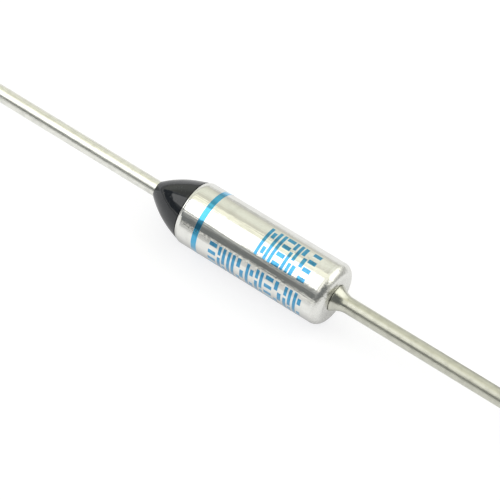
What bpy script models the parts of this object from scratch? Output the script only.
"""A thermal fuse with axial leads and a melting pellet, built piece by piece.

The fuse lies along X with the centre of its case at the origin. The case lead leaves at +X and the
isolated lead, with its epoxy seal, at -X. Every piece is modelled standing on Z in the frame of one
empty, which then lays the whole row down, so that "up" below means towards the case lead.

Current runs from the isolated lead's head into the star contact, through its fingers into the case
and out by the case lead. The pellet holds the compression spring tight against the star contact.
When the pellet melts, the spring goes slack, and the trip spring pushes the star contact away.
"""

from math import asin, cos, hypot, pi, radians, sin

import bmesh
import bpy
from mathutils import Matrix

MM = 0.001

# Case: a drawn metal cup with a hole in its closed end and a mouth that is crimped in
CASE_DIAMETER = 4.0 * MM
CASE_LENGTH = 10.28 * MM
CASE_WALL = 0.30 * MM
CASE_END_WALL = 0.35 * MM
CASE_SHOULDER_RADIUS = 0.60 * MM
CASE_INNER_CORNER = 0.25 * MM
CRIMP_LENGTH = 0.35 * MM
CRIMP_DEPTH = 0.08 * MM
LIP_ROUNDING = 0.10 * MM
PRINTED_RING_WIDTH = 0.37 * MM
PRINTED_RING_FROM_MOUTH = 1.30 * MM

# Leads: solid plated wire
LEAD_DIAMETER = 1.0 * MM
OVERALL_LENGTH = 64.0 * MM
LEAD_END_CHAMFER = 0.08 * MM
FLARE_DIAMETER = 1.70 * MM
FLARE_LENGTH = 0.95 * MM
FLARE_RIM = 0.05 * MM
TENON_DIAMETER = 0.80 * MM
RIVET_DIAMETER = 1.50 * MM
RIVET_HEIGHT = 0.20 * MM
HEAD_DIAMETER = 1.60 * MM
HEAD_LENGTH = 0.40 * MM
HEAD_CROWN = 0.06 * MM

# Seal: an epoxy cone with bowed sides that ends in a thin collar on the lead
SEAL_LENGTH = 2.62 * MM
SEAL_BULGE = 0.16 * MM
SEAL_COLLAR = 0.04 * MM
SEAL_INSET = 0.11 * MM

# Ceramic bushing: a thick ring with a nose that carries the isolated lead's head
BUSHING_BODY_LENGTH = 2.0 * MM
BUSHING_NOSE_LENGTH = 0.80 * MM
BUSHING_NOSE_DIAMETER = 1.90 * MM
BUSHING_CHAMFER = 0.12 * MM

# Star contact: a sheet cup that is slit into springy fingers
STAR_SHEET = 0.12 * MM
STAR_BEND_RADIUS = 0.20 * MM
STAR_FINGER_RISE = 0.35 * MM
STAR_CROWN_HEIGHT = 0.55 * MM
STAR_TIP_LENGTH = 0.22 * MM
STAR_TIP_TURN_IN = 0.06 * MM
STAR_FINGERS = 9
STAR_SLIT_WIDTH = 0.30 * MM
STAR_SLIT_DEPTH = 0.22 * MM

# Springs, discs and pellet
TRIP_WIRE = 0.16 * MM
TRIP_TURNS = 4.0
TRIP_END_TURNS = 0.75
SPRING_WIRE = 0.28 * MM
SPRING_TURNS = 5.5
SPRING_END_TURNS = 1.0
SPRING_BULGE = 0.35 * MM
DISC_THICKNESS = 0.20 * MM
DISC_EDGE = 0.04 * MM
PELLET_LENGTH = 2.90 * MM
PELLET_RECESS_MARGIN = 0.06 * MM

# Fits: SEAT parts two faces that touch, SLIDE is the running fit in the bore
SEAT = 0.02 * MM
SLIDE = 0.03 * MM
COIL_GAP = 0.04 * MM

# Facets
ROUND_STEPS = 48
WIRE_STEPS = 32
COIL_STEPS = 16
MERGE = 0.001 * MM
SHARP_ANGLE = radians(28)

# What follows from the sizes, as radii and as heights above the centre of the case
CASE_RADIUS = CASE_DIAMETER / 2
BORE_RADIUS = CASE_RADIUS - CASE_WALL
SLIDING_RADIUS = BORE_RADIUS - SLIDE
LEAD_RADIUS = LEAD_DIAMETER / 2
HEAD_RADIUS = HEAD_DIAMETER / 2
NOSE_RADIUS = BUSHING_NOSE_DIAMETER / 2
CASE_TOP = CASE_LENGTH / 2
CASE_FLOOR = CASE_TOP - CASE_END_WALL
MOUTH = -CASE_TOP

PELLET_BASE = CASE_FLOOR - SEAT - PELLET_LENGTH
PELLET_DISC_BASE = PELLET_BASE - SEAT - DISC_THICKNESS
BUSHING_BASE = MOUTH + CRIMP_LENGTH
BUSHING_SHOULDER = BUSHING_BASE + BUSHING_BODY_LENGTH
HEAD_BASE = BUSHING_SHOULDER + BUSHING_NOSE_LENGTH + SEAT
STAR_BASE = HEAD_BASE + HEAD_LENGTH + SEAT
CONTACT_DISC_BASE = STAR_BASE + STAR_SHEET + SEAT

# The disc fills the flat floor of the star contact's cup, and the spring stands on that disc
STAR_CROWN_RADIUS = SLIDING_RADIUS - STAR_SHEET / 2
STAR_ROOT_RADIUS = STAR_CROWN_RADIUS - STAR_FINGER_RISE
STAR_FLOOR_RADIUS = STAR_ROOT_RADIUS - STAR_BEND_RADIUS
SPRING_END_RADIUS = STAR_FLOOR_RADIUS - SEAT - SPRING_WIRE / 2


def clear_scene():
    for obj in list(bpy.data.objects):
        bpy.data.objects.remove(obj, do_unlink=True)


def new_collection(name):
    collection = bpy.data.collections.new(name)
    bpy.context.scene.collection.children.link(collection)
    return collection


def material(name, colour, roughness, metallic):
    made = bpy.data.materials.new(name)
    made.use_nodes = True
    shader = made.node_tree.nodes["Principled BSDF"]
    shader.inputs["Base Color"].default_value = (*colour, 1.0)
    shader.inputs["Roughness"].default_value = roughness
    shader.inputs["Metallic"].default_value = metallic
    made.diffuse_color = (*colour, 1.0)
    return made


def arc(centre, radius, start, end, steps):
    """Points of a round corner about centre, as (radius, height), from one angle in degrees to another."""
    angles = [radians(start + (end - start) * i / steps) for i in range(steps + 1)]
    return [(centre[0] + radius * cos(a), centre[1] + radius * sin(a)) for a in angles]


def bowed_line(start, end, sagitta, steps):
    """Points of a shallow arc from start to end that stands out to the left of the way it runs."""
    chord = hypot(end[0] - start[0], end[1] - start[1])
    along = ((end[0] - start[0]) / chord, (end[1] - start[1]) / chord)
    radius = (chord * chord / 4 + sagitta * sagitta) / (2 * sagitta)
    half_angle = asin(chord / 2 / radius)
    points = []
    for i in range(steps + 1):
        angle = half_angle * (2 * i / steps - 1)
        run = chord / 2 + radius * sin(angle)
        out = radius * cos(angle) - (radius - sagitta)
        radial = start[0] + along[0] * run - along[1] * out
        points.append((radial, start[1] + along[1] * run + along[0] * out))
    return points


def crimp_side(radius, foot, steps=4):
    """The side of a wall that the crimp pulls in, from where it starts down to foot above the mouth."""
    points = []
    for i in range(steps + 1):
        share = i / steps
        height = CRIMP_LENGTH + (foot - CRIMP_LENGTH) * share
        points.append((radius - CRIMP_DEPTH * share * share, MOUTH + height))
    return points


def add_object(name, data, surface):
    """A new object on the fuse's axis with one material."""
    obj = bpy.data.objects.new(name, data)
    data.materials.append(surface)
    parts.objects.link(obj)
    obj.parent = axis
    return obj


def settle(obj):
    """Makes the modifiers' result the object's own mesh, and shades its round faces smooth."""
    bpy.context.view_layer.update()
    graph = bpy.context.evaluated_depsgraph_get()
    mesh = bpy.data.meshes.new_from_object(obj.evaluated_get(graph))
    mesh.name = obj.name
    obj.modifiers.clear()
    obj.data = mesh
    mesh.shade_smooth()
    mesh.set_sharp_from_angle(angle=SHARP_ANGLE)
    return obj


def outline_mesh(name, outline, ring):
    mesh = bpy.data.meshes.new(name)
    edges = [(i, i + 1) for i in range(len(outline) - 1)]
    if ring:
        edges.append((len(outline) - 1, 0))
    mesh.from_pydata([(radius, 0.0, height) for radius, height in outline], edges, [])
    return mesh


def turn(obj, steps):
    screw = obj.modifiers.new("Turn", "SCREW")
    screw.steps = steps
    screw.render_steps = steps
    screw.use_merge_vertices = True
    screw.merge_threshold = MERGE


def turned(name, outline, surface, steps=ROUND_STEPS, ring=True, height=0.0):
    """A turned piece whose outline runs down its outer side; ring joins the outline's two ends."""
    obj = add_object(name, outline_mesh(name, outline, ring), surface)
    obj.location.z = height
    turn(obj, steps)
    return settle(obj)


def disc(name, radius, surface, height):
    """A stamped disc with rounded rims."""
    bpy.ops.mesh.primitive_cylinder_add(vertices=ROUND_STEPS, radius=radius, depth=DISC_THICKNESS)
    obj = bpy.context.object
    obj.name = name
    obj.data.name = name
    obj.data.materials.append(surface)
    for collection in list(obj.users_collection):
        collection.objects.unlink(obj)
    parts.objects.link(obj)
    obj.parent = axis
    obj.location = (0.0, 0.0, height + DISC_THICKNESS / 2)
    bevel = obj.modifiers.new("Rims", "BEVEL")
    bevel.width = DISC_EDGE
    bevel.segments = 1
    bevel.limit_method = "ANGLE"
    return settle(obj)


def coil(name, wire, length, turns, end_turns, radius_at, surface, height):
    """A wound spring with closed end turns; radius_at gives its mean radius at a share of its height."""
    closed_rise = end_turns * (wire + COIL_GAP)
    open_rise = length - wire - 2 * closed_rise
    count = round(turns * COIL_STEPS)
    curve = bpy.data.curves.new(name, "CURVE")
    curve.dimensions = "3D"
    curve.bevel_depth = wire / 2
    curve.bevel_resolution = 2
    curve.use_fill_caps = True
    spline = curve.splines.new("POLY")
    spline.points.add(count)
    for i, point in enumerate(spline.points):
        turn_at = turns * i / count
        rise = min(turn_at, end_turns) * (wire + COIL_GAP)
        rise += max(0.0, turn_at - (turns - end_turns)) * (wire + COIL_GAP)
        middle = min(max(turn_at - end_turns, 0.0), turns - 2 * end_turns)
        rise += open_rise * middle / (turns - 2 * end_turns)
        radius = radius_at(rise / (length - wire))
        angle = 2 * pi * turn_at
        point.co = (radius * cos(angle), radius * sin(angle), wire / 2 + rise, 1.0)
    obj = add_object(name, curve, surface)
    obj.location.z = height
    return obj


def build_case():
    """The cup, from its hole over the shoulder and down to the lip, then back up its bore."""
    hole = TENON_DIAMETER / 2 + SEAT
    shoulder = (CASE_RADIUS - CASE_SHOULDER_RADIUS, CASE_TOP - CASE_SHOULDER_RADIUS)
    lip = (CASE_RADIUS - CRIMP_DEPTH - LIP_ROUNDING, MOUTH + LIP_ROUNDING)
    corner = (BORE_RADIUS - CASE_INNER_CORNER, CASE_FLOOR - CASE_INNER_CORNER)
    ring_low = MOUTH + PRINTED_RING_FROM_MOUTH
    ring_high = ring_low + PRINTED_RING_WIDTH
    outline = [(hole, CASE_TOP)]
    outline += arc(shoulder, CASE_SHOULDER_RADIUS, 90, 0, 7)
    outline += [(CASE_RADIUS, ring_high), (CASE_RADIUS, ring_low)]
    outline += crimp_side(CASE_RADIUS, LIP_ROUNDING)
    outline += arc(lip, LIP_ROUNDING, 0, -90, 3)[1:]
    outline += reversed(crimp_side(BORE_RADIUS, 0.0))
    outline += arc(corner, CASE_INNER_CORNER, 0, 90, 3)
    outline += [(hole, CASE_FLOOR)]
    case = turned("case", outline, bright_plate)
    case.data.materials.append(blue_ink)
    for face in case.data.polygons:
        on_outside = hypot(face.center.x, face.center.y) > BORE_RADIUS + CASE_WALL / 2
        if on_outside and ring_low < face.center.z < ring_high:
            face.material_index = 1


def build_case_lead():
    """A wire with a trumpet flare on the case, a tenon through its hole and a riveted head inside."""
    flare_radius = FLARE_DIAMETER / 2
    tenon_radius = TENON_DIAMETER / 2
    rivet_radius = RIVET_DIAMETER / 2
    end = OVERALL_LENGTH / 2 - CASE_TOP
    rivet_top = -CASE_END_WALL - SEAT
    outline = [(0.0, end), (LEAD_RADIUS - LEAD_END_CHAMFER, end), (LEAD_RADIUS, end - LEAD_END_CHAMFER)]
    flare_steps = 7
    for i in range(flare_steps + 1):
        share = 1 - i / flare_steps
        radius = LEAD_RADIUS + (flare_radius - LEAD_RADIUS) * (1 - share) ** 2
        outline.append((radius, SEAT + FLARE_RIM + (FLARE_LENGTH - FLARE_RIM) * share))
    outline += [(flare_radius, SEAT), (tenon_radius, SEAT), (tenon_radius, rivet_top)]
    outline += [(rivet_radius, rivet_top), (rivet_radius, rivet_top - RIVET_HEIGHT / 2)]
    outline += [((tenon_radius + rivet_radius) / 2, rivet_top - RIVET_HEIGHT), (0.0, rivet_top - RIVET_HEIGHT)]
    turned("case_lead", outline, tinned_wire, WIRE_STEPS, ring=False, height=CASE_TOP)


def build_isolated_lead():
    """A wire whose crowned head stands on the bushing's nose and meets the star contact."""
    end = -OVERALL_LENGTH / 2 - HEAD_BASE
    crown_steps = 3
    outline = []
    for i in range(crown_steps + 1):
        share = i / crown_steps
        outline.append((HEAD_RADIUS * share, HEAD_LENGTH - HEAD_CROWN * share * share))
    outline += [(HEAD_RADIUS, 0.0), (LEAD_RADIUS, 0.0), (LEAD_RADIUS, end + LEAD_END_CHAMFER)]
    outline += [(LEAD_RADIUS - LEAD_END_CHAMFER, end), (0.0, end)]
    turned("isolated_lead", outline, tinned_wire, WIRE_STEPS, ring=False, height=HEAD_BASE)


def build_seal():
    """The plug inside the crimp, and the bowed cone from the lip down to the collar on the lead."""
    bore = LEAD_RADIUS + SEAT
    plug = [(radius, height) for radius, height in crimp_side(BORE_RADIUS - SEAT, 0.0)]
    plug[0] = (plug[0][0], BUSHING_BASE - SEAT)
    rim = (CASE_RADIUS - SEAL_INSET, MOUTH - SEAT)
    tip = (bore + SEAL_COLLAR - SEAT, MOUTH - SEAL_LENGTH)
    outline = [(bore, BUSHING_BASE - SEAT)] + plug
    outline += [(plug[-1][0], MOUTH - SEAT)]
    outline += bowed_line(rim, tip, SEAL_BULGE, 12)
    outline += [(bore, tip[1])]
    turned("seal", outline, black_epoxy)


def build_bushing():
    """The ceramic ring: its body fills the bore and its nose lifts the lead's head off the body."""
    bore = LEAD_RADIUS + SEAT
    body = BORE_RADIUS - SEAT
    top = BUSHING_BODY_LENGTH + BUSHING_NOSE_LENGTH
    outline = [(bore, top), (NOSE_RADIUS, top), (NOSE_RADIUS, BUSHING_BODY_LENGTH)]
    outline += [(body - BUSHING_CHAMFER, BUSHING_BODY_LENGTH), (body, BUSHING_BODY_LENGTH - BUSHING_CHAMFER)]
    outline += [(body, BUSHING_CHAMFER), (body - BUSHING_CHAMFER, 0.0), (bore, 0.0)]
    turned("ceramic_bushing", outline, white_ceramic, height=BUSHING_BASE)


def build_star_contact():
    """A cup of thin sheet with its floor on the lead's head, slit into fingers that bear on the bore."""
    middle = STAR_SHEET / 2
    crown = middle + STAR_BEND_RADIUS + STAR_CROWN_HEIGHT
    bend = (STAR_FLOOR_RADIUS, middle + STAR_BEND_RADIUS)
    outline = [(STAR_CROWN_RADIUS - STAR_TIP_TURN_IN, crown + STAR_TIP_LENGTH)]
    outline += [(STAR_CROWN_RADIUS, crown)]
    outline += arc(bend, STAR_BEND_RADIUS, 0, -90, 3)
    outline += [(0.0, middle)]
    star = add_object("star_contact", outline_mesh("star_contact", outline, ring=False), silver_sheet)
    star.location.z = STAR_BASE
    turn(star, ROUND_STEPS)
    sheet = star.modifiers.new("Sheet", "SOLIDIFY")
    sheet.thickness = STAR_SHEET
    sheet.offset = 0.0
    sheet.use_even_offset = True
    slits = star.modifiers.new("Slits", "BOOLEAN")
    slits.operation = "DIFFERENCE"
    slits.object = build_slit_cutter(crown + STAR_TIP_LENGTH)
    settle(star)


def build_slit_cutter(star_height):
    """One box for each slit between two fingers, from the cup's floor out through its side."""
    inner = STAR_FLOOR_RADIUS - STAR_SLIT_DEPTH
    outer = CASE_RADIUS
    size = (outer - inner, STAR_SLIT_WIDTH, 2 * star_height)
    cutter_mesh = bpy.data.meshes.new("star_slits")
    bm = bmesh.new()
    for i in range(STAR_FINGERS):
        box = bmesh.ops.create_cube(bm, size=1.0)["verts"]
        bmesh.ops.scale(bm, vec=size, verts=box)
        bmesh.ops.translate(bm, vec=((inner + outer) / 2, 0.0, star_height / 2), verts=box)
        turned_by = Matrix.Rotation(2 * pi * i / STAR_FINGERS, 3, "Z")
        bmesh.ops.rotate(bm, matrix=turned_by, verts=box)
    bm.to_mesh(cutter_mesh)
    bm.free()
    cutter = bpy.data.objects.new("star_slits", cutter_mesh)
    cutters.objects.link(cutter)
    cutter.parent = axis
    cutter.location.z = STAR_BASE
    cutter.hide_render = True
    cutter.display_type = "WIRE"
    return cutter


def build_springs():
    """The slim cone of the trip spring round the nose, and the stout barrel that the pellet backs."""
    wide = NOSE_RADIUS + COIL_GAP + TRIP_WIRE / 2 + TRIP_WIRE
    narrow = max(HEAD_RADIUS, NOSE_RADIUS) + COIL_GAP + TRIP_WIRE / 2
    trip_base = BUSHING_SHOULDER + SEAT
    coil(
        "trip_spring",
        TRIP_WIRE,
        STAR_BASE - SEAT - trip_base,
        TRIP_TURNS,
        TRIP_END_TURNS,
        lambda share: wide + (narrow - wide) * share,
        spring_bronze,
        trip_base,
    )
    spring_base = CONTACT_DISC_BASE + DISC_THICKNESS + SEAT
    coil(
        "compression_spring",
        SPRING_WIRE,
        PELLET_DISC_BASE - SEAT - spring_base,
        SPRING_TURNS,
        SPRING_END_TURNS,
        lambda share: SPRING_END_RADIUS + SPRING_BULGE * 4 * share * (1 - share),
        spring_steel,
        spring_base,
    )


def build_pellet():
    """The pressed pellet, dished on top to clear the rivet and chamfered to clear the cup's corner."""
    chamfer = CASE_INNER_CORNER + SEAT
    dish_radius = RIVET_DIAMETER / 2 + PELLET_RECESS_MARGIN
    dish_floor = PELLET_LENGTH - RIVET_HEIGHT - PELLET_RECESS_MARGIN
    outline = [(0.0, dish_floor), (dish_radius, dish_floor), (dish_radius, PELLET_LENGTH)]
    outline += [(SLIDING_RADIUS - chamfer, PELLET_LENGTH), (SLIDING_RADIUS, PELLET_LENGTH - chamfer)]
    outline += [(SLIDING_RADIUS, DISC_EDGE), (SLIDING_RADIUS - DISC_EDGE, 0.0), (0.0, 0.0)]
    turned("thermal_pellet", outline, pellet_wax, ring=False, height=PELLET_BASE)


clear_scene()
parts = new_collection("thermal_fuse")
cutters = new_collection("cutters")
cutters.hide_render = True

axis = bpy.data.objects.new("fuse_axis", None)
axis.empty_display_size = CASE_RADIUS
axis.rotation_euler = (0.0, radians(90), 0.0)
parts.objects.link(axis)

bright_plate = material("bright_plate", (0.88, 0.87, 0.84), 0.16, 1.0)
blue_ink = material("blue_ink", (0.02, 0.30, 0.58), 0.30, 0.2)
tinned_wire = material("tinned_wire", (0.80, 0.78, 0.72), 0.28, 1.0)
black_epoxy = material("black_epoxy", (0.012, 0.012, 0.014), 0.22, 0.0)
white_ceramic = material("white_ceramic", (0.84, 0.81, 0.74), 0.55, 0.0)
silver_sheet = material("silver_sheet", (0.90, 0.88, 0.84), 0.25, 1.0)
spring_bronze = material("spring_bronze", (0.66, 0.46, 0.24), 0.32, 1.0)
spring_steel = material("spring_steel", (0.56, 0.56, 0.57), 0.30, 1.0)
disc_brass = material("disc_brass", (0.76, 0.62, 0.34), 0.30, 1.0)
pellet_wax = material("pellet_wax", (0.74, 0.68, 0.55), 0.65, 0.0)

build_case()
build_case_lead()
build_isolated_lead()
build_seal()
build_bushing()
build_star_contact()
disc("contact_disc", STAR_FLOOR_RADIUS, disc_brass, CONTACT_DISC_BASE)
build_springs()
disc("pellet_disc", SLIDING_RADIUS, disc_brass, PELLET_DISC_BASE)
build_pellet()
